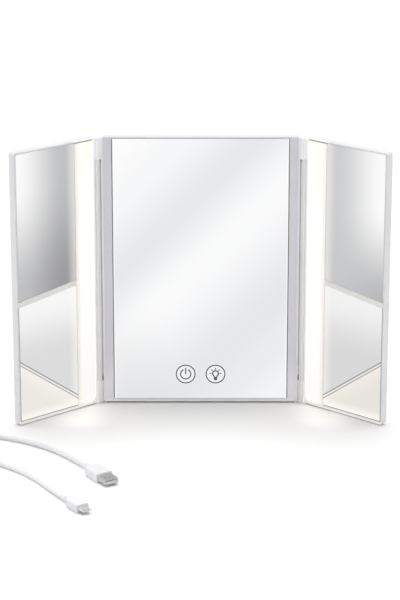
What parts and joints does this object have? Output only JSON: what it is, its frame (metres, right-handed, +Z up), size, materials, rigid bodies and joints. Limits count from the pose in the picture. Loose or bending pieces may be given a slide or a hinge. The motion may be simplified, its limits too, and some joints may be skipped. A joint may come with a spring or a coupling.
{
  "type": "trifold vanity mirror",
  "caption": "Free-standing lighted makeup mirror: a centre mirror with touch symbols and two hinged wings, each with a light strip and split mirrors, plus its charging lead.",
  "frame": {"origin": "on the surface it stands on, under the middle of the centre panel", "axes": "+X to the viewer's right along the centre panel, +Y to the back, away from the mirror faces, +Z up"},
  "size_m": [0.4134, 0.2674, 0.251],
  "materials": {
    "white_plastic": "satin",
    "cover_plastic": "fine grain",
    "mirror_glass": "polished",
    "opal_plastic": "opal",
    "symbol_print": "printed",
    "pin_steel": "ground",
    "screw_steel": "zinc plated",
    "foot_rubber": "matt",
    "board_green": "solder mask",
    "board_white": "white solder mask",
    "chip_black": "moulded",
    "led_yellow": "phosphor",
    "pad_copper": "bare",
    "cell_foil": "foil",
    "tape_grey": "adhesive foam",
    "wire_cover": "smooth",
    "port_steel": "plated",
    "contact_black": "moulded",
    "cord_white": "smooth",
    "grip_white": "satin",
    "contact_white": "moulded",
    "tie_white": "woven"
  },
  "bodies": {
    "centre_panel": {"centre_frame": "white_plastic", "centre_mirror": "mirror_glass", "centre_mirror_tape": "tape_grey", "power_icon": "symbol_print", "light_icon": "symbol_print", "centre_back_cover": "cover_plastic", "centre_cover_screws": "screw_steel", "centre_foot": "foot_rubber", "control_board": "board_green", "control_chips": "chip_black", "touch_pads": "pad_copper", "battery": "cell_foil", "battery_tape": "tape_grey", "battery_wires": "wire_cover", "charging_board": "board_green", "usb_c_socket": "port_steel", "usb_c_socket_tongue": "contact_black", "charging_wires": "wire_cover", "left_light_wire": "wire_cover", "right_light_wire": "wire_cover", "left_hinge_pin": "pin_steel", "right_hinge_pin": "pin_steel", "left_hinge_tube": "pin_steel", "right_hinge_tube": "pin_steel"},
    "left_wing": {"left_wing_frame": "white_plastic", "left_upper_mirror": "mirror_glass", "left_lower_mirror": "mirror_glass", "left_mirror_tapes": "tape_grey", "left_light_diffuser": "opal_plastic", "left_light_board": "board_white", "left_light_leds": "led_yellow", "left_back_cover": "cover_plastic", "left_cover_screws": "screw_steel", "left_foot": "foot_rubber", "left_wing_wire": "wire_cover"},
    "right_wing": {"right_wing_frame": "white_plastic", "right_upper_mirror": "mirror_glass", "right_lower_mirror": "mirror_glass", "right_mirror_tapes": "tape_grey", "right_light_diffuser": "opal_plastic", "right_light_board": "board_white", "right_light_leds": "led_yellow", "right_back_cover": "cover_plastic", "right_cover_screws": "screw_steel", "right_foot": "foot_rubber", "right_wing_wire": "wire_cover"},
    "charging_lead": {"usb_a_shell": "port_steel", "usb_a_insert": "contact_white", "usb_a_grip": "grip_white", "cable_run_a": "cord_white", "cable_coil": "cord_white", "cable_tie": "tie_white", "cable_run_c": "cord_white", "usb_c_grip": "grip_white", "usb_c_shell": "port_steel", "usb_c_insert": "contact_black"}
  },
  "joints": [
    {"name": "left_wing_hinge", "type": "hinge", "parent": "centre_panel", "child": "left_wing", "pos_m": [-0.0918, -0.0045, 0], "axis": [0, 0, 1], "range_deg": [-41, 139]},
    {"name": "right_wing_hinge", "type": "hinge", "parent": "centre_panel", "child": "right_wing", "pos_m": [0.0918, -0.0045, 0], "axis": [0, 0, -1], "range_deg": [-41, 139]},
    {"name": "lead_lift", "type": "slide", "parent": "centre_panel", "child": "charging_lead", "axis": [0, 0, 1], "range_m": [0, 0.15]}
  ]
}
